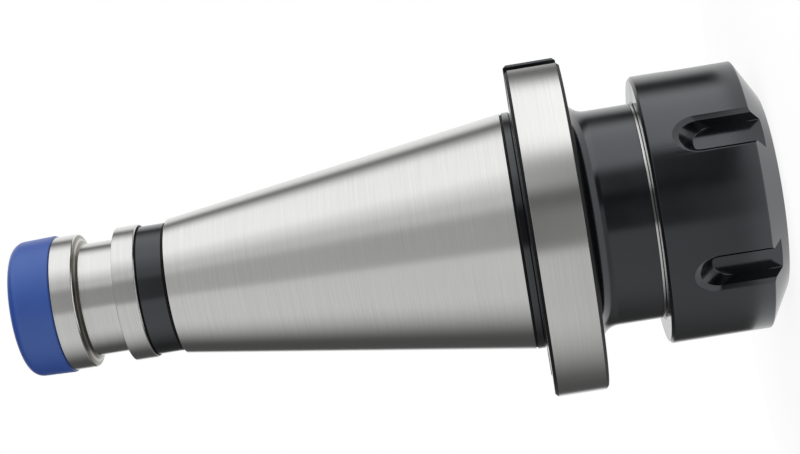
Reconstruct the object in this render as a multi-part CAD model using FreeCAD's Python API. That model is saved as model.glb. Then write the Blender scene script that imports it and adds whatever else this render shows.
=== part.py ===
"""Collet chuck on a size 40 steep-taper shank: shank, clamping nut, spring collet and end cap.

The row frame is in millimetres. The origin is the centre of the nut's front face, and +Z runs along
the spindle axis to the shank's small end, so the chuck stands on its nut. The two drive slots of the
flange lie on +X and -X.
"""

import FreeCAD
import Part
import math
import os

V = FreeCAD.Vector

# ---- driving dimensions, mm and degrees ----

# clamping nut
NUT_D = 50.0
NUT_L = 22.5
NUT_BEVEL_L = 3.9  # how far back the front bevel reaches
NUT_BEVEL_DEG = 30.0  # from the front face
NUT_REAR_CHAMFER = 0.5
NUT_MOUTH_D = 27.6
NUT_RELIEF_D = 35.2  # clears the collet's body
THREAD_D = 40.0  # M40 x 1.5, modelled at its mean diameter
THREAD_PITCH = 1.5
THREAD_CLEARANCE = 0.05  # radial, nut to nose

# wrench slots of the nut
SLOT_COUNT = 6
SLOT_PHASE_DEG = 7.0
SLOT_FLOOR_R = 21.2
SLOT_W = 5.9
SLOT_FLOOR_END = 14.2  # where the floor's round end is, from the front face
SLOT_END_TILT_DEG = 38.0  # how far the round end leans back
SLOT_EDGE_CHAMFER = 0.8

# extraction ring inside the nut, turned off centre
RING_D = 32.3
RING_OFFSET = 0.75
RING_FRONT = 6.3
RING_REAR = 8.3

# spring collet
COLLET_D = 33.0
COLLET_L = 40.0
COLLET_FRONT = 0.5  # its front face, inside the nut's mouth
COLLET_BORE_D = 20.0
SEAT_DEG = 8.0  # half angle of the collet's long taper
CONE_DEG = 30.0  # half angle of its short front cone
COLLET_FACE_D = 27.4
COLLAR_D = 32.0
COLLAR_L = 5.5
GROOVE_D = 29.2
GROOVE_L = 3.6
SLIT_W = 0.8
SLIT_COUNT = 8  # from each end
SLIT_WEB_FRONT = 3.2
SLIT_WEB_REAR = 5.0
SEAT_GAP = 0.4  # how far the collet's large end stands out of the seat

# shank, from the nose to the small end
NOSE_Z = 10.4
UNDERCUT_Z = 20.6
UNDERCUT_D = 37.8
PILOT_Z = 21.8
PILOT_D = 39.6
NECK_Z = 22.9
NECK_D = 40.2
NECK_FILLET = 3.6
FLANGE_Z = 34.9
FLANGE_T = 10.0
FLANGE_D = 63.0
FLANGE_CHAMFER = 0.5
GAUGE_FROM_FLANGE = 1.6
GAUGE_D = 44.45
TAPER_PER_MM = 7.0 / 24.0  # on the diameter
LAND_PAST_GAUGE = 0.45  # unground land between flange and taper
LAND_GROOVE = 0.15
TAPER_L = 65.4  # from the gauge plane
TAPER_CHAMFER = 0.4
BAND_D = 24.3
BAND_L = 5.2
RING_END_D = 25.3
PILOT_RING_L = 4.2
REAR_GROOVE_D = 21.2
REAR_GROOVE_L = 7.6
REAR_GROOVE_FLANK = 1.1  # axial length of its sloped rear flank
REAR_RING_L = 4.15
SHANK_END_FROM_GAUGE = 93.4
SPIGOT_D = 23.6
SPIGOT_CHAMFER = 1.0

# drive slots
DRIVE_SLOT_W = 16.1
DRIVE_SLOT_FLOOR = 22.5  # from the axis
DRIVE_SLOT_CORNER = 0.8

# bores of the shank
SEAT_END_Z = 43.0
CLEARANCE_BORE_D = 21.0
CLEARANCE_BORE_END_Z = 70.0
THROUGH_BORE_D = 13.0
DRAWBAR_MINOR_D = 13.84  # M16
DRAWBAR_L = 28.0
DRAWBAR_ENTRY_D = 17.0
DRAWBAR_ENTRY_L = 6.0
DRILL_POINT_DEG = 59.0

# end cap
CAP_MOUTH_D = 26.0
CAP_END_D = 25.5
CAP_FLOOR = 1.35
CAP_CORNER_R = 3.0
CAP_LIP_CHAMFER = 0.2
CAP_GAP = 0.05

# ---- worked out from them ----

NUT_R = NUT_D / 2
SLOT_FRONT_Z = -2.0  # where the slot cutters start, ahead of the front face
GAUGE_Z = FLANGE_Z + FLANGE_T + GAUGE_FROM_FLANGE
LAND_END_Z = GAUGE_Z + LAND_PAST_GAUGE
TAPER_END_Z = GAUGE_Z + TAPER_L
BAND_END_Z = TAPER_END_Z + BAND_L
PILOT_RING_END_Z = BAND_END_Z + PILOT_RING_L
REAR_GROOVE_END_Z = PILOT_RING_END_Z + REAR_GROOVE_L
REAR_RING_END_Z = REAR_GROOVE_END_Z + REAR_RING_L
SHANK_END_Z = GAUGE_Z + SHANK_END_FROM_GAUGE
THREAD_MEAN_R = THREAD_D / 2 - 0.325 * THREAD_PITCH
SEAT_SLOPE = math.tan(math.radians(SEAT_DEG))
CONE_SLOPE = math.tan(math.radians(CONE_DEG))


def taper_r(z):
    """Radius of the 7:24 taper at height z."""
    return GAUGE_D / 2 - (z - GAUGE_Z) * TAPER_PER_MM / 2


def revolved(points):
    """Solid of revolution about Z from a closed outline of (radius, z) points."""
    wire = Part.makePolygon([V(r, 0, z) for r, z in points + points[:1]])
    return Part.Face(wire).revolve(V(0, 0, 0), V(0, 0, 1), 360)


def circle_edges(shape, radius, z):
    """The round edges of shape about Z with that radius at that height."""
    found = []
    for edge in shape.Edges:
        curve = edge.Curve
        if not isinstance(curve, Part.Circle):
            continue
        if abs(curve.Radius - radius) < 1e-3 and abs(curve.Center.z - z) < 1e-3:
            found.append(edge)
    return found


def around(shape, count, phase_deg=0.0):
    """Copies of shape turned evenly about Z."""
    copies = []
    for k in range(count):
        copy = shape.copy()
        copy.rotate(V(0, 0, 0), V(0, 0, 1), phase_deg + k * 360.0 / count)
        copies.append(copy)
    return copies


# ---- shank ----


def shank_outside():
    """Nose, neck, flange, taper and the grooved small end, as one turned solid."""
    neck_r = NECK_D / 2
    flange_r = FLANGE_D / 2
    ring_r = RING_END_D / 2
    groove_r = REAR_GROOVE_D / 2
    spigot_r = SPIGOT_D / 2
    flange_rear = FLANGE_Z + FLANGE_T
    land_r = GAUGE_D / 2
    edge = FLANGE_CHAMFER
    small = TAPER_CHAMFER
    points = [
        (0, NOSE_Z),
        (THREAD_MEAN_R - 0.8, NOSE_Z),
        (THREAD_MEAN_R, NOSE_Z + 0.8),
        (THREAD_MEAN_R, UNDERCUT_Z),
        (UNDERCUT_D / 2, UNDERCUT_Z + 0.4),
        (UNDERCUT_D / 2, PILOT_Z),
        (PILOT_D / 2, PILOT_Z),
        (PILOT_D / 2, NECK_Z),
        (neck_r - 0.15, NECK_Z),
        (neck_r, NECK_Z + 0.15),
        (neck_r, FLANGE_Z),
        (flange_r - edge, FLANGE_Z),
        (flange_r, FLANGE_Z + edge),
        (flange_r, flange_rear - edge),
        (flange_r - edge, flange_rear),
        (land_r - LAND_GROOVE, flange_rear),
        (land_r - LAND_GROOVE, flange_rear + 0.25),
        (land_r, flange_rear + 0.4),
        (land_r, LAND_END_Z - 0.4),
        (land_r - 2 * LAND_GROOVE, LAND_END_Z - 0.25),
        (land_r - 2 * LAND_GROOVE, LAND_END_Z),
        (taper_r(LAND_END_Z), LAND_END_Z),
        (taper_r(TAPER_END_Z - small), TAPER_END_Z - small),
        (BAND_D / 2, TAPER_END_Z),
        (BAND_D / 2, BAND_END_Z),
        (ring_r - 0.2, BAND_END_Z),
        (ring_r, BAND_END_Z + 0.2),
        (ring_r, PILOT_RING_END_Z - 0.15),
        (ring_r - 0.15, PILOT_RING_END_Z),
        (groove_r, PILOT_RING_END_Z),
        (groove_r, REAR_GROOVE_END_Z - REAR_GROOVE_FLANK),
        (ring_r - 0.3, REAR_GROOVE_END_Z - 0.2),
        (ring_r, REAR_GROOVE_END_Z),
        (ring_r, REAR_RING_END_Z - 0.1),
        (ring_r - 0.1, REAR_RING_END_Z),
        (spigot_r, REAR_RING_END_Z),
        (spigot_r, SHANK_END_Z - SPIGOT_CHAMFER),
        (spigot_r - SPIGOT_CHAMFER, SHANK_END_Z),
        (0, SHANK_END_Z),
    ]
    body = revolved(points)
    return body.makeFillet(NECK_FILLET, circle_edges(body, neck_r, FLANGE_Z))


def shank_inside():
    """Everything bored out of the shank: collet seat, clearance bore, drawbar thread and its entry."""
    seat_r = COLLET_D / 2
    seat_end_r = seat_r - (SEAT_END_Z - NOSE_Z) * SEAT_SLOPE
    wide = CLEARANCE_BORE_D / 2
    through = THROUGH_BORE_D / 2
    minor = DRAWBAR_MINOR_D / 2
    entry = DRAWBAR_ENTRY_D / 2
    thread_top = SHANK_END_Z - DRAWBAR_ENTRY_L
    thread_foot = thread_top - DRAWBAR_L
    point = (wide - through) / math.tan(math.radians(DRILL_POINT_DEG))
    over = 1.0
    points = [
        (0, NOSE_Z - over),
        (seat_r + over * SEAT_SLOPE, NOSE_Z - over),
        (seat_end_r, SEAT_END_Z),
        (wide, SEAT_END_Z),
        (wide, CLEARANCE_BORE_END_Z),
        (through, CLEARANCE_BORE_END_Z + point),
        (through, thread_foot - (minor - through)),
        (minor, thread_foot),
        (minor, thread_top - (entry - minor)),
        (entry, thread_top),
        (entry, SHANK_END_Z - 0.6),
        (entry + 0.6 + over, SHANK_END_Z + over),
        (0, SHANK_END_Z + over),
    ]
    return revolved(points)


def drive_slots():
    """The two cutters for the flange's key slots, with rounded floor corners."""
    reach = FLANGE_D / 2 - DRIVE_SLOT_FLOOR + 2
    low = FLANGE_Z - NECK_FILLET - 1
    tall = FLANGE_T + NECK_FILLET + 2
    block = Part.makeBox(reach, DRIVE_SLOT_W, tall, V(DRIVE_SLOT_FLOOR, -DRIVE_SLOT_W / 2, low))
    corners = []
    for edge in block.Edges:
        middle = edge.CenterOfMass
        upright = abs(middle.z - low - tall / 2) < 1e-6
        if upright and abs(middle.x - DRIVE_SLOT_FLOOR) < 1e-6:
            corners.append(edge)
    return around(block.makeFillet(DRIVE_SLOT_CORNER, corners), 2)


def make_shank():
    solid = shank_outside().cut(shank_inside())
    for cutter in drive_slots():
        solid = solid.cut(cutter)
    return solid


# ---- clamping nut ----


def nut_blank():
    """The nut without its wrench slots, ring side open to the collet's collar."""
    bevel_drop = NUT_BEVEL_L / math.tan(math.radians(NUT_BEVEL_DEG))
    mouth_r = NUT_MOUTH_D / 2
    cone_foot = 1.1
    collar_r = RING_D / 2
    cone_end = cone_foot + (collar_r - mouth_r + 0.03) / CONE_SLOPE
    thread_r = THREAD_MEAN_R + THREAD_CLEARANCE
    relief_r = THREAD_D / 2 + 0.2
    rear = NUT_REAR_CHAMFER
    points = [
        (mouth_r + 0.3, 0),
        (NUT_R - bevel_drop, 0),
        (NUT_R, NUT_BEVEL_L),
        (NUT_R, NUT_L - rear),
        (NUT_R - rear, NUT_L),
        (relief_r + 0.25, NUT_L),
        (relief_r + 0.05, NUT_L - 0.2),
        (relief_r + 0.05, NUT_L - 1.2),
        (thread_r, NUT_L - 1.9),
        (thread_r, RING_REAR + 3.2),
        (relief_r, RING_REAR + 2.8),
        (relief_r, RING_REAR + 1.1),
        (NUT_RELIEF_D / 2, RING_REAR + 1.1),
        (NUT_RELIEF_D / 2, RING_REAR),
        (RING_D / 2 - RING_OFFSET, RING_REAR),
        (RING_D / 2 - RING_OFFSET, RING_FRONT),
        (collar_r + 0.1, RING_FRONT),
        (collar_r + 0.1, cone_end),
        (mouth_r - 0.03, cone_foot),
        (mouth_r - 0.03, 0.33),
    ]
    return revolved(points)


def ring_cutter():
    """Opens the extraction ring off centre, so one side reaches into the collet's groove."""
    return Part.makeCylinder(RING_D / 2, RING_REAR - RING_FRONT, V(RING_OFFSET, 0, RING_FRONT))


def slab(outline, width):
    """A plate of that width centred on y = 0, from a closed outline of (x, z) points."""
    points = [V(x, -width / 2, z) for x, z in outline + outline[:1]]
    return Part.Face(Part.makePolygon(points)).extrude(V(0, width, 0))


def slot_pocket():
    """An end mill's way into the nut on +X: straight walls, and a round rear end that leans back."""
    tilt = math.radians(SLOT_END_TILT_DEG)
    top_r = NUT_R + 1.0
    floor_centre = SLOT_FLOOR_END - SLOT_W / 2 / math.cos(tilt)
    top_centre = floor_centre + (top_r - SLOT_FLOOR_R) * math.tan(tilt)
    outline = [
        (SLOT_FLOOR_R, SLOT_FRONT_Z),
        (top_r, SLOT_FRONT_Z),
        (top_r, top_centre),
        (SLOT_FLOOR_R, floor_centre),
    ]
    mill_axis = V(math.cos(tilt), 0, math.sin(tilt))
    foot = V(SLOT_FLOOR_R, 0, floor_centre)
    mill = Part.makeCylinder(SLOT_W / 2, 4 * SLOT_W, foot - mill_axis * 2 * SLOT_W, mill_axis)
    above_floor = Part.makeBox(top_r - SLOT_FLOOR_R, 2 * SLOT_W, NUT_L, V(SLOT_FLOOR_R, -SLOT_W, 0))
    return slab(outline, SLOT_W).fuse(mill.common(above_floor))


def slot_rims(nut):
    """The edges where the slots' walls leave the nut's outside."""
    found = []
    for edge in nut.Edges:
        points = edge.discretize(5)
        heights = [p.z for p in points]
        on_outside = all(abs(math.hypot(p.x, p.y) - NUT_R) < 1e-3 for p in points)
        short_of_rear = max(heights) < NUT_L - 2 * NUT_REAR_CHAMFER
        runs_rearward = max(heights) - min(heights) > 1
        if on_outside and short_of_rear and runs_rearward:
            found.append(edge)
    return found


def make_nut():
    solid = nut_blank().cut(ring_cutter())
    for cutter in around(slot_pocket(), SLOT_COUNT, SLOT_PHASE_DEG):
        solid = solid.cut(cutter)
    return solid.makeChamfer(SLOT_EDGE_CHAMFER, slot_rims(solid))


# ---- spring collet ----


def collet_blank():
    """Front cone and collar, extraction groove and the long 8 degree taper, bored through."""
    face_r = COLLET_FACE_D / 2
    collar_r = COLLAR_D / 2
    groove_r = GROOVE_D / 2
    body_r = COLLET_D / 2
    bore_r = COLLET_BORE_D / 2
    z0 = COLLET_FRONT
    cone_foot = z0 + 0.6
    cone_end = cone_foot + (collar_r - face_r) / CONE_SLOPE
    groove_front = z0 + COLLAR_L
    groove_rear = groove_front + GROOVE_L
    body_z = NOSE_Z - SEAT_GAP
    rear = z0 + COLLET_L
    rear_r = body_r - (rear - body_z) * SEAT_SLOPE
    chamfer = 0.5
    points = [
        (bore_r + chamfer, z0),
        (face_r - 0.3, z0),
        (face_r, z0 + 0.3),
        (face_r, cone_foot),
        (collar_r, cone_end),
        (collar_r, groove_front),
        (groove_r, groove_front),
        (groove_r, groove_rear),
        (body_r - (body_z - groove_rear), groove_rear),
        (body_r, body_z),
        (rear_r + chamfer * SEAT_SLOPE, rear - chamfer),
        (rear_r - chamfer, rear),
        (bore_r + chamfer, rear),
        (bore_r, rear - chamfer),
        (bore_r, z0 + chamfer),
    ]
    return revolved(points)


def slit(low, high):
    """One radial saw cut on +X from the bore outwards, between two heights."""
    return Part.makeBox(COLLET_D, SLIT_W, high - low, V(0, -SLIT_W / 2, low))


def make_collet():
    front = COLLET_FRONT
    rear = COLLET_FRONT + COLLET_L
    rear_web = rear - SLIT_WEB_REAR
    front_web = front + COLLAR_L + GROOVE_L + SLIT_WEB_FRONT
    from_front = slit(front - 1, rear_web)
    from_rear = slit(front_web, rear + 1)
    step = 360.0 / SLIT_COUNT
    solid = collet_blank()
    for cutter in around(from_front, SLIT_COUNT) + around(from_rear, SLIT_COUNT, step / 2):
        solid = solid.cut(cutter)
    return solid


# ---- end cap ----


def make_cap():
    """Cup with a slightly tapered side, a rounded end and a lead-in at its mouth."""
    mouth_z = REAR_RING_END_Z + CAP_GAP
    inner_end = SHANK_END_Z + CAP_GAP
    end = inner_end + CAP_FLOOR
    inner_r = SPIGOT_D / 2 + CAP_GAP
    points = [
        (0, inner_end),
        (inner_r - SPIGOT_CHAMFER, inner_end),
        (inner_r, inner_end - SPIGOT_CHAMFER),
        (inner_r, mouth_z + 0.4),
        (inner_r + 0.3, mouth_z),
        (CAP_MOUTH_D / 2 - CAP_LIP_CHAMFER, mouth_z),
        (CAP_MOUTH_D / 2, mouth_z + CAP_LIP_CHAMFER),
        (CAP_END_D / 2, end),
        (0, end),
    ]
    cap = revolved(points)
    return cap.makeFillet(CAP_CORNER_R, circle_edges(cap, CAP_END_D / 2, end))


PARTS = {
    "shank": make_shank,
    "clamping_nut": make_nut,
    "collet": make_collet,
    "end_cap": make_cap,
}


def main():
    os.makedirs("parts", exist_ok=True)
    for node, make in PARTS.items():
        shape = make()
        if len(shape.Solids) != 1 or not shape.isValid():
            raise ValueError(f"{node} is not one valid solid")
        shape = shape.Solids[0]
        shape.exportStep(f"parts/{node}.step")
        print(node, round(shape.Volume / 1000, 2), "cm3")


main()
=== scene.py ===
"""Looks of the collet chuck: finely turned meshes for its pieces, their finishes and a pale studio.

Sizes are in millimetres. Z runs along the spindle axis, from the nut's front face to the end cap.
"""

import math

import bmesh
import bpy
from mathutils import Matrix, Vector


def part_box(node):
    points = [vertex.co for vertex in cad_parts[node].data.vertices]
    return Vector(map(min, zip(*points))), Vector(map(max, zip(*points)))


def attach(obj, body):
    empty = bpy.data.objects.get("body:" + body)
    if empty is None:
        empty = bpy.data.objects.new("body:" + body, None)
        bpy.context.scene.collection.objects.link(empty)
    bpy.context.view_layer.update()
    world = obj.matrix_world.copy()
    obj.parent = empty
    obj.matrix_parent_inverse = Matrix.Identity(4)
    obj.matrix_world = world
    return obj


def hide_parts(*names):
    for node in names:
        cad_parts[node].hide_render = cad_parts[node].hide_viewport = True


MM = 0.001

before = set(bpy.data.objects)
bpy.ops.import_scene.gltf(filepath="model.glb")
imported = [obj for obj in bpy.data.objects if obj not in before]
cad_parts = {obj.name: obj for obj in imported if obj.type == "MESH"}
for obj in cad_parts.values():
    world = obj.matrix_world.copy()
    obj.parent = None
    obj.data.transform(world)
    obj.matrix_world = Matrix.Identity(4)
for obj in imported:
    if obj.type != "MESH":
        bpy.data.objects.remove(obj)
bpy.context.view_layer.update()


def node_span(node):
    """Lowest and highest corner of a CAD node, in mm."""
    low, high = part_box(node)
    return low / MM, high / MM


# ---- sizes from the frame ----

_, NUT_HIGH = node_span("clamping_nut")
SHANK_LOW, SHANK_HIGH = node_span("shank")
COLLET_LOW, COLLET_HIGH = node_span("collet")
CAP_LOW, CAP_HIGH = node_span("end_cap")

NUT_R = NUT_HIGH.x
NUT_END = NUT_HIGH.z
NOSE = SHANK_LOW.z
SHANK_END = SHANK_HIGH.z
FLANGE_R = SHANK_HIGH.y
COLLET_FRONT = COLLET_LOW.z
COLLET_END = COLLET_HIGH.z
COLLET_R = COLLET_HIGH.x
CAP_MOUTH = CAP_LOW.z
CAP_END = CAP_HIGH.z
CAP_MOUTH_R = CAP_HIGH.x

# ---- sizes of the shank ----

NOSE_THREAD_R = 19.53  # half way up the thread, as for every thread here
NOSE_THREAD_DEPTH = 0.9
NOSE_THREAD_END = 20.6
THREAD_PITCH = 1.5  # of the nose and the nut
UNDERCUT_R = 18.9
UNDERCUT_END = 21.8
COLLAR_R = 19.8
BRIGHT_RING_START = 22.6
BRIGHT_RING_END = 22.95
NECK_R = 20.1
NECK_FILLET = 3.6
FLANGE_FRONT = 34.9
FLANGE_REAR = 44.9
GAUGE = 46.5
GAUGE_R = 22.225
TAPER = 7.0 / 48.0  # radius lost for each mm along the axis
LAND_END = GAUGE + 0.45
TAPER_END = GAUGE + 65.4
BAND_R = 12.15
BAND_END = TAPER_END + 5.2
RING_R = 12.65
PILOT_END = BAND_END + 4.2
GROOVE_R = 10.6
GROOVE_END = PILOT_END + 7.6
FLANK = 0.85
REAR_RING_END = GROOVE_END + 4.15
SPIGOT_R = 11.8
SEAT_SLOPE = math.tan(math.radians(8.0))
SEAT_END = 43.0
BORE_R = 10.5
BORE_END = 70.0
THROUGH_R = 6.5
THROUGH_START = 72.4
DRAWBAR_THREAD_R = 7.48
DRAWBAR_THREAD_DEPTH = 1.1
DRAWBAR_PITCH = 2.0
DRAWBAR_THREAD_TOP = SHANK_END - 7.6
DRAWBAR_THREAD_FOOT = DRAWBAR_THREAD_TOP - 26.4
DRAWBAR_ENTRY_R = 8.5
DRIVE_SLOT_HALF = 8.05
DRIVE_SLOT_FLOOR = 22.5
DRIVE_SLOT_CORNER = 0.8

# ---- sizes of the nut ----

NUT_BEVEL = 3.9
NUT_FACE_R = NUT_R - NUT_BEVEL / math.tan(math.radians(30.0))
MOUTH_R = 13.77
CONE_R = 16.25
CONE_START = 1.1
CONE_END = 5.4
EXTRACTION_R = 16.15
EXTRACTION_OFFSET = 0.75
EXTRACTION_START = 6.3
EXTRACTION_END = 8.3
SHOULDER_R = 17.6
SHOULDER = 9.4
NUT_RELIEF_R = 20.2
NUT_THREAD_R = 19.63
NUT_THREAD_DEPTH = 0.88
SLOT_COUNT = 6
SLOT_PHASE = math.radians(7.0)
SLOT_FLOOR = 21.2
SLOT_FOOT = -3.0  # the cutters start ahead of the front face

# ---- sizes of the collet ----

FACE_R = 13.7
HEAD_R = 16.0
HEAD_END = COLLET_FRONT + 5.5
COLLET_GROOVE_R = 14.6
COLLET_GROOVE_END = COLLET_FRONT + 9.1
COLLET_BORE_R = 10.0
SLIT_COUNT = 8
SLIT_HALF = 0.4

# ---- meshes ----

SEGMENTS = 192  # round the axis
THREAD_FLATS = 1.3  # without its flat crest and root a thread would be this many times deeper
FINISHES = ["ground", "black", "black_shade_lines", "polished_and_glint", "turned", "relief", "spring", "plastic"]


# ---- turned meshes ----


def thread_radius(mean, depth, pitch, z):
    """Radius, as a function of the angle, of a right-hand V thread with flats at height z."""

    def radius(angle):
        along = (z / pitch - angle / (2 * math.pi)) % 1.0
        wave = 1.0 - 4.0 * abs(along - 0.5)
        return mean + depth / 2 * max(-1.0, min(1.0, THREAD_FLATS * wave))

    return radius


def thread(mean, depth, pitch, start, end, finish, rows=12):
    """Rows of a screw thread from height start to end, as outline points."""
    count = round(abs(end - start) / pitch * rows)
    heights = [start + (end - start) * k / count for k in range(count + 1)]
    return [(thread_radius(mean, depth, pitch, z), z, 0.0, finish) for z in heights]


def eccentric(radius, offset):
    """Radius, as a function of the angle, of a circle whose centre lies off the axis on +X."""

    def at(angle):
        return offset * math.cos(angle) + math.sqrt(radius**2 - (offset * math.sin(angle)) ** 2)

    return at


def at_angle(radius, angle):
    """The radius at that angle, whether it's a number or changes with the angle."""
    return radius(angle) if callable(radius) else radius


def rounded(outline, is_closed=True):
    """The outline with each corner of a given radius made into a short arc."""
    result = []
    count = len(outline)
    for k, (radius, z, corner, finish) in enumerate(outline):
        is_end = not is_closed and k in (0, count - 1)
        if corner <= 0 or is_end:
            result.append((radius, z, finish))
            continue
        before, after = outline[k - 1], outline[(k + 1) % count]
        here = Vector((radius, z))
        back = Vector((at_angle(before[0], 0), before[1])) - here
        on = Vector((at_angle(after[0], 0), after[1])) - here
        turn = math.pi - back.angle(on)
        reach = min(corner * math.tan(turn / 2), 0.45 * back.length, 0.45 * on.length)
        start, end = here + back.normalized() * reach, here + on.normalized() * reach
        step_deg = 9 if corner > 1 else 22
        steps = max(2, round(math.degrees(turn) / step_deg))
        for step in range(steps + 1):
            t = step / steps
            # a rational quadratic curve is a true arc here
            weight = math.cos(turn / 2)
            a, b, c = (1 - t) ** 2, 2 * t * (1 - t) * weight, t**2
            point = (start * a + here * b + end * c) / (a + b + c)
            result.append((point.x, point.y, before[3] if t < 0.5 else finish))
        result[-1] = (end.x, end.y, finish)
    return result


def turned(name, outline, is_closed=True):
    """A mesh object turned about Z from an outline of (radius, z, corner, finish) points."""
    points = rounded(outline, is_closed)
    mesh = bmesh.new()
    rings = []
    for radius, z, _ in points:
        if not callable(radius) and radius < 1e-6:
            rings.append([mesh.verts.new((0, 0, z * MM))] * SEGMENTS)
            continue
        ring = []
        for k in range(SEGMENTS):
            angle = 2 * math.pi * k / SEGMENTS
            r = at_angle(radius, angle) * MM
            ring.append(mesh.verts.new((r * math.cos(angle), r * math.sin(angle), z * MM)))
        rings.append(ring)
    last = len(points) if is_closed else len(points) - 1
    for j in range(last):
        low, high = rings[j], rings[(j + 1) % len(points)]
        for k in range(SEGMENTS):
            corners = [low[k], low[(k + 1) % SEGMENTS], high[(k + 1) % SEGMENTS], high[k]]
            corners = list(dict.fromkeys(corners))
            if len(corners) > 2:
                face = mesh.faces.new(corners)
                face.material_index = FINISHES.index(points[j][2])
    bmesh.ops.recalc_face_normals(mesh, faces=mesh.faces)
    return finished(name, mesh)


def finished(name, mesh):
    """The bmesh as a new object that carries every finish."""
    data = bpy.data.meshes.new(name)
    mesh.to_mesh(data)
    mesh.free()
    for finish in FINISHES:
        data.materials.append(materials[finish])
    piece = bpy.data.objects.new(name, data)
    bpy.context.scene.collection.objects.link(piece)
    return piece


def about_axis(x, y, z, angle):
    """The point turned about Z."""
    return x * math.cos(angle) - y * math.sin(angle), x * math.sin(angle) + y * math.cos(angle), z


def stacked(name, sections, finish):
    """A closed solid through a stack of outlines that have the same number of points."""
    mesh = bmesh.new()
    loops = [[mesh.verts.new(Vector(p) * MM) for p in section] for section in sections]
    for low, high in zip(loops, loops[1:]):
        for k in range(len(low)):
            n = (k + 1) % len(low)
            mesh.faces.new([low[k], low[n], high[n], high[k]])
    mesh.faces.new(loops[0])
    mesh.faces.new(loops[-1])
    for face in mesh.faces:
        face.material_index = FINISHES.index(finish)
    bmesh.ops.recalc_face_normals(mesh, faces=mesh.faces)
    return finished(name, mesh)


def cut(piece, cutters):
    """Cuts the cutters out of the piece and removes them."""
    for cutter in cutters:
        modifier = piece.modifiers.new("cut", "BOOLEAN")
        modifier.operation = "DIFFERENCE"
        modifier.solver = "EXACT"
        modifier.object = cutter
        depsgraph = bpy.context.evaluated_depsgraph_get()
        data = bpy.data.meshes.new_from_object(piece.evaluated_get(depsgraph))
        piece.modifiers.clear()
        piece.data = data
        bpy.data.objects.remove(cutter)


def smooth(piece, sharp_deg=28.0):
    """Smooth shading with sharp edges, its normals weighted by face size."""
    piece.data.shade_smooth()
    piece.data.set_sharp_from_angle(angle=math.radians(sharp_deg))
    modifier = piece.modifiers.new("normals", "WEIGHTED_NORMAL")
    modifier.keep_sharp = True
    modifier.weight = 100


# ---- finishes ----


class Nodes:
    """Short calls for building a node tree."""

    def __init__(self, tree):
        self.tree = tree
        tree.nodes.clear()

    def add(self, kind, **values):
        node = self.tree.nodes.new(kind)
        for key, value in values.items():
            setattr(node, key, value)
        return node

    def link(self, out, into):
        self.tree.links.new(out, into)

    def math(self, operation, *inputs):
        node = self.add("ShaderNodeMath", operation=operation)
        for socket, value in zip(node.inputs, inputs):
            self.feed(value, socket)
        return node.outputs[0]

    def feed(self, value, socket):
        if isinstance(value, bpy.types.NodeSocket):
            self.link(value, socket)
        else:
            socket.default_value = value

    def noise(self, scale, stretch=(1, 1, 1), detail=3.0, roughness=0.55):
        """Noise in the object's own space, with that many features a mm along each axis."""
        where = self.add("ShaderNodeTexCoord").outputs["Object"]
        mapping = self.add("ShaderNodeMapping")
        self.link(where, mapping.inputs["Vector"])
        mapping.inputs["Scale"].default_value = [s * scale / MM for s in stretch]
        noise = self.add("ShaderNodeTexNoise")
        self.link(mapping.outputs["Vector"], noise.inputs["Vector"])
        noise.inputs["Scale"].default_value = 1.0
        noise.inputs["Detail"].default_value = detail
        noise.inputs["Roughness"].default_value = roughness
        return noise.outputs["Fac"]

    def span(self, value, low, high, from_low=0.3, from_high=0.7):
        """The value mapped from its usual range in a noise to the range from low to high."""
        node = self.add("ShaderNodeMapRange")
        self.feed(value, node.inputs["Value"])
        node.inputs["From Min"].default_value = from_low
        node.inputs["From Max"].default_value = from_high
        node.inputs["To Min"].default_value = low
        node.inputs["To Max"].default_value = high
        return node.outputs["Result"]

    def blend(self, fac, low, high):
        """A colour between two colours, on the mix node's sockets for colours."""
        node = self.add("ShaderNodeMix", data_type="RGBA")
        self.feed(fac, node.inputs[0])
        node.inputs[6].default_value = (*low, 1)
        node.inputs[7].default_value = (*high, 1)
        return node.outputs[2]

    def bump(self, height, strength, distance_mm):
        node = self.add("ShaderNodeBump")
        self.link(height, node.inputs["Height"])
        node.inputs["Strength"].default_value = strength
        node.inputs["Distance"].default_value = distance_mm * MM
        return node.outputs["Normal"]


def material(name):
    """A new material, the short calls for its tree, and its shader."""
    made = bpy.data.materials.new(name)
    made.use_nodes = True
    nodes = Nodes(made.node_tree)
    shader = nodes.add("ShaderNodeBsdfPrincipled")
    output = nodes.add("ShaderNodeOutputMaterial")
    nodes.link(shader.outputs[0], output.inputs["Surface"])
    return made, nodes, shader


def steel(name, dark, light, rough, grain, anisotropy, relief):
    """Bare steel with fine marks round the axis, whose highlights stretch along it.

    rough holds the lowest and the highest roughness, and grain the marks in a mm of the axis.
    """
    made, nodes, shader = material(name)
    lines = nodes.noise(grain, stretch=(0.01, 0.01, 1.0), detail=5.0, roughness=0.7)
    clouds = nodes.noise(0.05, stretch=(1, 1, 0.4), detail=2.0)
    both = nodes.math("ADD", nodes.math("MULTIPLY", lines, 0.6), nodes.math("MULTIPLY", clouds, 0.4))
    nodes.link(nodes.blend(nodes.span(both, 0, 1), dark, light), shader.inputs["Base Color"])
    nodes.link(nodes.span(both, rough[1], rough[0]), shader.inputs["Roughness"])
    nodes.link(nodes.bump(lines, relief, 0.02), shader.inputs["Normal"])
    tangent = nodes.add("ShaderNodeTangent", direction_type="RADIAL", axis="Z")
    nodes.link(tangent.outputs[0], shader.inputs["Tangent"])
    shader.inputs["Metallic"].default_value = 1.0
    shader.inputs["Anisotropic"].default_value = anisotropy
    shader.inputs["Anisotropic Rotation"].default_value = 0.25
    return made


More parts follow.
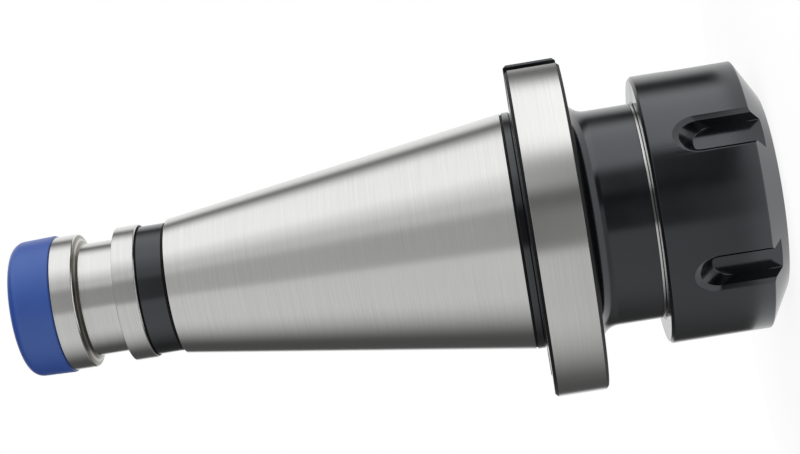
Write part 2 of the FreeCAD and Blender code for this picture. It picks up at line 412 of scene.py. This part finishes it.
def black_oxide():
    """Oiled black finish on smooth turned steel."""
    made, nodes, shader = material("black_oxide")
    marks = nodes.noise(4.0, stretch=(0.02, 0.02, 1.0), detail=4.0, roughness=0.6)
    oil = nodes.noise(0.12, detail=3.0)
    colour = nodes.blend(nodes.span(oil, 0, 1), (0.004, 0.0042, 0.005), (0.007, 0.0073, 0.0085))
    nodes.link(colour, shader.inputs["Base Color"])
    nodes.link(nodes.span(oil, 0.13, 0.19), shader.inputs["Roughness"])
    nodes.link(nodes.bump(marks, 0.04, 0.01), shader.inputs["Normal"])
    shader.inputs["Specular IOR Level"].default_value = 0.85
    shader.inputs["Specular Tint"].default_value = (0.9, 0.94, 1.0, 1)
    return made


def dull_black_shade_lines():
    """Dull black in small grooves and on edges, so that they show as dark lines: painted shade."""
    made, nodes, shader = material("dull_black_shade_lines")
    scale = nodes.noise(1.5, detail=3.0)
    colour = nodes.blend(nodes.span(scale, 0, 1), (0.004, 0.004, 0.0045), (0.007, 0.007, 0.0075))
    nodes.link(colour, shader.inputs["Base Color"])
    nodes.link(nodes.span(scale, 0.5, 0.6), shader.inputs["Roughness"])
    nodes.link(nodes.bump(scale, 0.05, 0.02), shader.inputs["Normal"])
    shader.inputs["Specular IOR Level"].default_value = 0.3
    return made


def blue_plastic():
    """Satin moulded plastic."""
    made, nodes, shader = material("blue_plastic")
    cloud = nodes.noise(0.15, detail=2.0)
    grain = nodes.noise(6.0, detail=3.0)
    colour = nodes.blend(nodes.span(cloud, 0, 1), (0.03, 0.092, 0.44), (0.035, 0.105, 0.48))
    nodes.link(colour, shader.inputs["Base Color"])
    nodes.link(nodes.span(grain, 0.34, 0.42), shader.inputs["Roughness"])
    nodes.link(nodes.bump(grain, 0.04, 0.02), shader.inputs["Normal"])
    shader.inputs["Specular IOR Level"].default_value = 1.0
    shader.inputs["Specular Tint"].default_value = (0.6, 0.8, 1.0, 1)
    return made


# The bare steels: dark and light colour, roughness, grain, anisotropy and depth of the marks.
STEELS = {
    "ground": ((0.585, 0.585, 0.575), (0.665, 0.665, 0.65), (0.2, 0.27), 5.0, 0.75, 0.05),
    # Polished steel: the real finish of the bright ring, and on the chamfer at the taper's small end and
    # on the rear ring's edge a lighter steel that is a painted highlight.
    "polished_and_glint": ((0.72, 0.71, 0.7), (0.8, 0.79, 0.78), (0.1, 0.16), 3.0, 0.3, 0.03),
    "turned": ((0.4, 0.39, 0.37), (0.52, 0.51, 0.48), (0.26, 0.36), 2.5, 0.6, 0.12),
    # relief: dark brownish steel for the rear groove's flank, a painted shade.
    "relief": ((0.16, 0.15, 0.12), (0.24, 0.23, 0.19), (0.26, 0.34), 2.5, 0.6, 0.05),
    "spring": ((0.46, 0.46, 0.455), (0.56, 0.56, 0.55), (0.22, 0.3), 3.5, 0.6, 0.06),
}

materials = {finish: steel(f"{finish}_steel", *values) for finish, values in STEELS.items()}
materials["black"] = black_oxide()
materials["black_shade_lines"] = dull_black_shade_lines()
materials["plastic"] = blue_plastic()


# ---- shank ----


def taper_r(z):
    """Radius of the 7:24 taper at height z."""
    return GAUGE_R - (z - GAUGE) * TAPER


def shank_outline():
    """Outside from the nose to the small end, then the bores back to the nose."""
    nose_root_r = NOSE_THREAD_R - NOSE_THREAD_DEPTH / 2
    nose_thread = (NOSE_THREAD_R, NOSE_THREAD_DEPTH, THREAD_PITCH, NOSE + 0.9, NOSE_THREAD_END)
    drawbar_thread = (
        DRAWBAR_THREAD_R,
        DRAWBAR_THREAD_DEPTH,
        DRAWBAR_PITCH,
        DRAWBAR_THREAD_TOP + 0.6,
        DRAWBAR_THREAD_FOOT,
    )
    return [
        (COLLET_R, NOSE, 0.25, "black"),
        (18.5, NOSE, 0.15, "black"),
        (nose_root_r, NOSE + 0.6, 0.0, "black"),
        *thread(*nose_thread, "black"),
        (UNDERCUT_R, NOSE_THREAD_END + 0.15, 0.1, "black"),
        (UNDERCUT_R, UNDERCUT_END, 0.1, "black"),
        (COLLAR_R, UNDERCUT_END, 0.12, "black"),
        (COLLAR_R, BRIGHT_RING_START, 0.0, "polished_and_glint"),
        (COLLAR_R, BRIGHT_RING_END, 0.0, "black"),
        (NECK_R, BRIGHT_RING_END + 0.1, 0.0, "black"),
        (NECK_R, FLANGE_FRONT, NECK_FILLET, "black"),
        # The flange's chamfers are dull black: painted shade lines at its edges.
        (FLANGE_R - 0.6, FLANGE_FRONT, 0.25, "black_shade_lines"),
        (FLANGE_R, FLANGE_FRONT + 0.6, 0.1, "ground"),
        (FLANGE_R, FLANGE_REAR - 0.6, 0.1, "black_shade_lines"),
        (FLANGE_R - 0.6, FLANGE_REAR, 0.25, "black"),
        (GAUGE_R - 0.2, FLANGE_REAR, 0.1, "black"),
        (GAUGE_R - 0.2, FLANGE_REAR + 0.3, 0.08, "black"),
        (GAUGE_R, FLANGE_REAR + 0.45, 0.08, "black"),
        # The small groove at the land's end is dull black: painted shade.
        (GAUGE_R, LAND_END - 0.45, 0.08, "black_shade_lines"),
        (GAUGE_R - 0.35, LAND_END - 0.28, 0.05, "black_shade_lines"),
        (GAUGE_R - 0.35, LAND_END, 0.05, "black_shade_lines"),
        (taper_r(LAND_END), LAND_END, 0.08, "ground"),
        # This chamfer takes the lighter polished steel, a painted highlight for its glint.
        (taper_r(TAPER_END - 0.4), TAPER_END - 0.4, 0.1, "polished_and_glint"),
        # The grooves at both ends of the band and the ring's step face are dull black: painted shade
        # lines.
        (BAND_R - 0.3, TAPER_END, 0.05, "black_shade_lines"),
        (BAND_R - 0.3, TAPER_END + 0.2, 0.05, "black_shade_lines"),
        (BAND_R, TAPER_END + 0.25, 0.08, "black"),
        (BAND_R, BAND_END - 0.3, 0.08, "black_shade_lines"),
        (BAND_R - 0.3, BAND_END - 0.25, 0.05, "black_shade_lines"),
        (BAND_R - 0.3, BAND_END, 0.05, "black_shade_lines"),
        (RING_R - 0.2, BAND_END, 0.08, "ground"),
        (RING_R, BAND_END + 0.2, 0.1, "ground"),
        (RING_R, PILOT_END, 0.15, "ground"),
        (GROOVE_R, PILOT_END, 0.1, "ground"),
        # The flank from the groove up to the rear ring: its dark relief steel is painted shade, the
        # lighter turned strip in its middle is a painted reflection stripe, and the polished edge at its
        # top is a painted highlight.
        (GROOVE_R, GROOVE_END - FLANK, 0.1, "relief"),
        (GROOVE_R + 0.7, GROOVE_END - 0.6 * FLANK, 0.1, "turned"),
        (GROOVE_R + 1.15, GROOVE_END - 0.4 * FLANK, 0.1, "relief"),
        (RING_R - 0.2, GROOVE_END - 0.1, 0.05, "polished_and_glint"),
        (RING_R, GROOVE_END + 0.1, 0.1, "ground"),
        (RING_R, REAR_RING_END, 0.12, "ground"),
        (SPIGOT_R, REAR_RING_END, 0.1, "turned"),
        (SPIGOT_R, SHANK_END - 1, 0.15, "turned"),
        (SPIGOT_R - 1, SHANK_END, 0.15, "turned"),
        (DRAWBAR_ENTRY_R + 0.6, SHANK_END, 0.1, "turned"),
        (DRAWBAR_ENTRY_R, SHANK_END - 0.6, 0.1, "turned"),
        (DRAWBAR_ENTRY_R, SHANK_END - 6, 0.1, "turned"),
        (DRAWBAR_ENTRY_R - 0.45, SHANK_END - 6.45, 0.0, "turned"),
        *thread(*drawbar_thread, "turned", rows=8),
        (THROUGH_R + 0.4, DRAWBAR_THREAD_FOOT - 0.2, 0.0, "turned"),
        (THROUGH_R, DRAWBAR_THREAD_FOOT - 0.6, 0.1, "turned"),
        (THROUGH_R, THROUGH_START, 0.1, "turned"),
        (BORE_R, BORE_END, 0.1, "turned"),
        (BORE_R, SEAT_END, 0.1, "turned"),
        (COLLET_R - (SEAT_END - NOSE) * SEAT_SLOPE, SEAT_END, 0.1, "ground"),
    ]


def drive_slot(side):
    """Cutter for one key slot of the flange, with a softened rim."""
    low, high = FLANGE_FRONT - NECK_FILLET - 1, FLANGE_REAR + 1
    half, corner, steps = DRIVE_SLOT_HALF, DRIVE_SLOT_CORNER, 6
    outline = []
    for k in range(steps + 1):
        angle = math.pi / 2 * k / steps
        x = DRIVE_SLOT_FLOOR + corner * (1 - math.cos(angle))
        y = half - corner * (1 - math.sin(angle))
        outline.append((x, y))
    rim = math.sqrt(FLANGE_R**2 - half**2)
    outline += [(rim - 0.5, half), (rim - 0.44, half + 0.03)]
    outline += [(rim - 0.1, half + 0.4), (rim + 2, half + 5)]
    mirrored = [(x, -y) for x, y in reversed(outline)]
    sections = [[(side * x, side * y, z) for x, y in mirrored + outline] for z in (low, high)]
    return stacked(f"drive_slot_{side}", sections, "black")


def make_shank():
    piece = turned("shank_body", shank_outline())
    cut(piece, [drive_slot(1), drive_slot(-1)])
    return piece


# ---- clamping nut ----


def nut_outline():
    """Outside from the front face to the rear, then the inside back to the mouth."""
    ring = eccentric(EXTRACTION_R, EXTRACTION_OFFSET)
    return [
        (MOUTH_R + 0.35, 0.0, 0.12, "black"),
        (NUT_FACE_R, 0.0, 0.2, "black"),
        (NUT_R, NUT_BEVEL, 0.35, "black"),
        (NUT_R, NUT_END - 0.5, 0.15, "black"),
        (NUT_R - 0.5, NUT_END, 0.15, "black"),
        (NUT_RELIEF_R + 0.4, NUT_END, 0.12, "black"),
        (NUT_RELIEF_R, NUT_END - 0.4, 0.1, "black"),
        (NUT_RELIEF_R, 21.0, 0.0, "black"),
        *thread(NUT_THREAD_R, NUT_THREAD_DEPTH, THREAD_PITCH, 20.4, 11.6, "black"),
        (NUT_RELIEF_R, 11.1, 0.1, "black"),
        (NUT_RELIEF_R, SHOULDER, 0.1, "black"),
        (SHOULDER_R, SHOULDER, 0.1, "black"),
        (SHOULDER_R, EXTRACTION_END, 0.05, "black"),
        (ring, EXTRACTION_END, 0.0, "black"),
        (ring, EXTRACTION_START, 0.0, "black"),
        (CONE_R, EXTRACTION_START, 0.0, "black"),
        (CONE_R, CONE_END, 0.1, "black"),
        (MOUTH_R, CONE_START, 0.1, "black"),
        (MOUTH_R, 0.35, 0.1, "black"),
    ]


# Sections of a wrench slot from the floor up: half width, height of the round end's tip, and
# distance from the axis. The walls run up to the rim chamfer, which ends beyond the nut's outside.
SLOT_SECTIONS = [
    (2.87, 14.1, SLOT_FLOOR),
    (2.95, 14.27, SLOT_FLOOR + 0.1),
    (2.95, 16.63, 24.3),
    (3.0, 16.75, 24.37),
    (3.58, 17.7, 24.93),
    (3.72, 17.86, 25.0),
    (4.1, 18.2, 25.06),
    (6.0, 20.1, 28.0),
]
SLOT_END_LENGTH = 1.27  # length of the round end for each mm of half width


def wrench_slot(index):
    """Cutter for one wrench slot: flat at the floor, following the nut's outside at the rim."""
    phase = SLOT_PHASE + 2 * math.pi * index / SLOT_COUNT
    steps = 32
    sections = []
    for half, tip, radius in SLOT_SECTIONS:
        end_length = SLOT_END_LENGTH * half
        outline = [(half, SLOT_FOOT)]
        for k in range(steps + 1):
            angle = math.pi * k / steps
            outline.append((half * math.cos(angle), tip - end_length * (1 - math.sin(angle))))
        outline.append((-half, SLOT_FOOT))
        section = []
        for across, z in outline:
            bend = across / radius
            x, y = radius * math.cos(bend), radius * math.sin(bend)
            if radius < SLOT_FLOOR + 1:
                x, y = radius, across
            section.append(about_axis(x, y, z, phase))
        sections.append(section)
    return stacked(f"wrench_slot_{index}", sections, "black")


def make_nut():
    piece = turned("clamping_nut_body", nut_outline())
    cut(piece, [wrench_slot(k) for k in range(SLOT_COUNT)])
    return piece


# ---- collet ----


def collet_outline():
    """Head, groove and long cone from the front face to the rear, then the bore."""
    front = COLLET_FRONT
    cone_end = front + 0.6 + (HEAD_R - FACE_R) / math.tan(math.radians(30.0))
    body = NOSE - 0.4
    rear_r = COLLET_R - (COLLET_END - body) * SEAT_SLOPE
    return [
        (COLLET_BORE_R + 0.6, front, 0.15, "spring"),
        (FACE_R, front, 0.25, "spring"),
        (FACE_R, front + 0.6, 0.1, "spring"),
        (HEAD_R, cone_end, 0.12, "spring"),
        (HEAD_R, HEAD_END, 0.15, "spring"),
        (COLLET_GROOVE_R, HEAD_END, 0.1, "spring"),
        (COLLET_GROOVE_R, COLLET_GROOVE_END, 0.1, "spring"),
        (COLLET_R - 0.4, COLLET_GROOVE_END, 0.15, "spring"),
        (COLLET_R, body, 0.15, "spring"),
        (rear_r + 0.07, COLLET_END - 0.5, 0.15, "spring"),
        (rear_r - 0.5, COLLET_END, 0.15, "spring"),
        (COLLET_BORE_R + 0.5, COLLET_END, 0.15, "spring"),
        (COLLET_BORE_R, COLLET_END - 0.5, 0.15, "spring"),
        (COLLET_BORE_R, front + 0.6, 0.15, "spring"),
    ]


def slit(index, offset, low, high):
    """Cutter for one saw cut from the bore outwards, offset by a share of the spacing."""
    angle = 2 * math.pi * (index + offset) / SLIT_COUNT
    outline = [(SLIT_HALF, low), (SLIT_HALF, high), (-SLIT_HALF, high), (-SLIT_HALF, low)]
    inside, outside = COLLET_BORE_R - 5, HEAD_R + 4
    sections = [[about_axis(x, y, z, angle) for y, z in outline] for x in (inside, outside)]
    return stacked(f"slit_{low:.0f}_{index}", sections, "turned")


def make_collet():
    piece = turned("collet_body", collet_outline())
    from_front = [slit(k, 0.0, COLLET_FRONT - 1, COLLET_END - 5) for k in range(SLIT_COUNT)]
    from_rear = [slit(k, 0.5, COLLET_FRONT + 12.3, COLLET_END + 1) for k in range(SLIT_COUNT)]
    cut(piece, from_front + from_rear)
    return piece


# ---- end cap ----


def cap_outline():
    """Inside from the axis to the mouth, then the outside back to the axis."""
    inner_r = SPIGOT_R + 0.05
    inner_end = SHANK_END + 0.05
    return [
        (0.0, inner_end, 0.0, "plastic"),
        (inner_r - 1, inner_end, 0.2, "plastic"),
        (inner_r, inner_end - 1, 0.2, "plastic"),
        (inner_r, CAP_MOUTH + 0.4, 0.1, "plastic"),
        (inner_r + 0.3, CAP_MOUTH, 0.08, "plastic"),
        (CAP_MOUTH_R, CAP_MOUTH, 0.25, "plastic"),
        (CAP_MOUTH_R - 0.25, CAP_END, 2.3, "plastic"),
        (0.0, CAP_END, 0.0, "plastic"),
    ]


def make_cap():
    return turned("end_cap_body", cap_outline(), is_closed=False)


# ---- pieces ----

PIECES = {
    "shank": (make_shank, "ground_steel"),
    "clamping_nut": (make_nut, "black_oxide_steel"),
    "collet": (make_collet, "spring_steel"),
    "end_cap": (make_cap, "blue_plastic"),
}

for node, (make, slot) in PIECES.items():
    piece = make()
    smooth(piece)
    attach(piece, node)
    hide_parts(node)


# ---- studio ----

CAMERA_AT = Vector((51.687, -354.303, 47.674))
CAMERA_AIM = Vector((4.241, 0.567, 68.510))
CAMERA_ROLL = math.radians(-99.166)  # the chuck is seen lying on its side
CAMERA_LENS = 86.24
CAMERA_AZIMUTH = math.atan2(CAMERA_AT.y, CAMERA_AT.x)

# Panels round the chuck, all in degrees but the last value: the middle's azimuth from the camera's,
# half width, softness of the edges before and after it, lowest and highest elevation, softness of
# these two, and brightness.
PANELS = {
    "backdrop": (168.5, 29.5, 12, 8, -52, 50, 14, 0.95),
    "key": (83, 33, 14, 16, -2.5, 58, 6, 1.5),
    "key_foot": (81, 31, 8, 10, -40, -2.5, 4, 1.9),
    "fill": (-55, 39, 32, 4, -2.5, 55, 6, 0.9),
    "fill_foot": (-66, 50, 34, 4, -40, -2.5, 4, 0.52),
    "fill_corner": (-2, 14, 4, 6, -40, -6.2, 1.1, 0.52),
    "ceiling": (4, 20, 4, 6, 11, 58, 5, 0.62),
    "step": (37, 13, 6, 10, -2, 58, 3, 0.85),
}
GAP_BRIGHTNESS = 0.11
FLOOR_R = 75.0
FLOOR_WHITE = 0.7  # share of its own light in what camera, glossy and transmission rays see
FLOOR_GLOW = 1.25


def rise(nodes, value, start, end):
    """0 up to the start, 1 from the end on, with a smooth step between them."""
    window = nodes.add("ShaderNodeMapRange", interpolation_type="SMOOTHSTEP")
    nodes.link(value, window.inputs["Value"])
    window.inputs["From Min"].default_value = start
    window.inputs["From Max"].default_value = end
    return window.outputs["Result"]


def panel_share(nodes, direction, height, panel):
    """How much of a panel a ray's direction meets, from 0 to 1."""
    middle, half, soft_before, soft_after, low, high, soft_height, _ = panel
    angle = CAMERA_AZIMUTH + math.radians(middle)
    parts = []
    for turn in (math.pi / 2, 0):
        dot = nodes.add("ShaderNodeVectorMath", operation="DOT_PRODUCT")
        nodes.link(direction, dot.inputs[0])
        dot.inputs[1].default_value = (math.cos(angle + turn), math.sin(angle + turn), 0)
        parts.append(dot.outputs["Value"])
    off_middle = nodes.math("ARCTAN2", *parts)
    edges = [
        (off_middle, math.radians(-half - soft_before), math.radians(-half + soft_before)),
        (off_middle, math.radians(half + soft_after), math.radians(half - soft_after)),
        (height, math.sin(math.radians(low - soft_height)), math.sin(math.radians(low + soft_height))),
        (height, math.sin(math.radians(high + soft_height)), math.sin(math.radians(high - soft_height))),
    ]
    share = 1.0
    for value, start, end in edges:
        share = nodes.math("MULTIPLY", rise(nodes, value, start, end), share)
    return share


def studio_world():
    """White to camera and transmission rays, and panels round a dim room to all other rays.

    Glossy rays meet the white too, but only where the backdrop is.
    """
    world = bpy.data.worlds.new("studio")
    world.use_nodes = True
    bpy.context.scene.world = world
    nodes = Nodes(world.node_tree)
    direction = nodes.add("ShaderNodeTexCoord").outputs["Generated"]
    split = nodes.add("ShaderNodeSeparateXYZ")
    nodes.link(direction, split.inputs[0])
    shares = {}
    for name, panel in PANELS.items():
        shares[name] = panel_share(nodes, direction, split.outputs["Z"], panel)
    total = GAP_BRIGHTNESS
    for name, panel in PANELS.items():
        total = nodes.math("ADD", nodes.math("MULTIPLY", shares[name], panel[-1]), total)
    path = nodes.add("ShaderNodeLightPath")
    in_metal = nodes.math("MULTIPLY", path.outputs["Is Glossy Ray"], shares["backdrop"])
    seen = nodes.math("MAXIMUM", path.outputs["Is Camera Ray"], path.outputs["Is Transmission Ray"])
    lights = nodes.add("ShaderNodeBackground")
    nodes.link(total, lights.inputs["Strength"])
    white = nodes.add("ShaderNodeBackground")
    white.inputs["Color"].default_value = (1, 1, 1, 1)
    mix = nodes.add("ShaderNodeMixShader")
    nodes.link(nodes.math("MAXIMUM", seen, in_metal), mix.inputs[0])
    nodes.link(lights.outputs[0], mix.inputs[1])
    nodes.link(white.outputs[0], mix.inputs[2])
    output = nodes.add("ShaderNodeOutputWorld")
    nodes.link(mix.outputs[0], output.inputs["Surface"])


def studio_floor():
    """A pale round table top across the axis, white to the camera but for the chuck's shadow."""
    mesh = bmesh.new()
    bmesh.ops.create_circle(mesh, cap_ends=True, segments=96, radius=FLOOR_R * MM)
    data = bpy.data.meshes.new("floor")
    mesh.to_mesh(data)
    mesh.free()
    floor = bpy.data.objects.new("floor", data)
    bpy.context.scene.collection.objects.link(floor)
    made = bpy.data.materials.new("floor")
    made.use_nodes = True
    nodes = Nodes(made.node_tree)
    path = nodes.add("ShaderNodeLightPath")
    seen = nodes.math("MAXIMUM", path.outputs["Is Camera Ray"], path.outputs["Is Glossy Ray"])
    seen = nodes.math("MAXIMUM", seen, path.outputs["Is Transmission Ray"])
    paint = nodes.add("ShaderNodeBsdfDiffuse")
    paint.inputs["Color"].default_value = (0.85, 0.85, 0.85, 1)
    white = nodes.add("ShaderNodeEmission")
    white.inputs["Strength"].default_value = FLOOR_GLOW
    mix = nodes.add("ShaderNodeMixShader")
    nodes.link(nodes.math("MULTIPLY", seen, FLOOR_WHITE), mix.inputs[0])
    nodes.link(paint.outputs[0], mix.inputs[1])
    nodes.link(white.outputs[0], mix.inputs[2])
    output = nodes.add("ShaderNodeOutputMaterial")
    nodes.link(mix.outputs[0], output.inputs["Surface"])
    data.materials.append(made)


def studio_camera():
    """A long lens that looks at the chuck from the side."""
    camera = bpy.data.objects.new("camera", bpy.data.cameras.new("camera"))
    bpy.context.scene.collection.objects.link(camera)
    camera.data.lens = CAMERA_LENS
    camera.data.clip_start = 0.01
    camera.data.clip_end = 20.0
    look = (CAMERA_AIM - CAMERA_AT).to_track_quat("-Z", "Y").to_matrix().to_4x4()
    camera.matrix_world = Matrix.Translation(CAMERA_AT * MM) @ look @ Matrix.Rotation(CAMERA_ROLL, 4, "Z")
    bpy.context.scene.camera = camera


studio_world()
studio_floor()
studio_camera()
bpy.context.scene.view_settings.view_transform = "Standard"
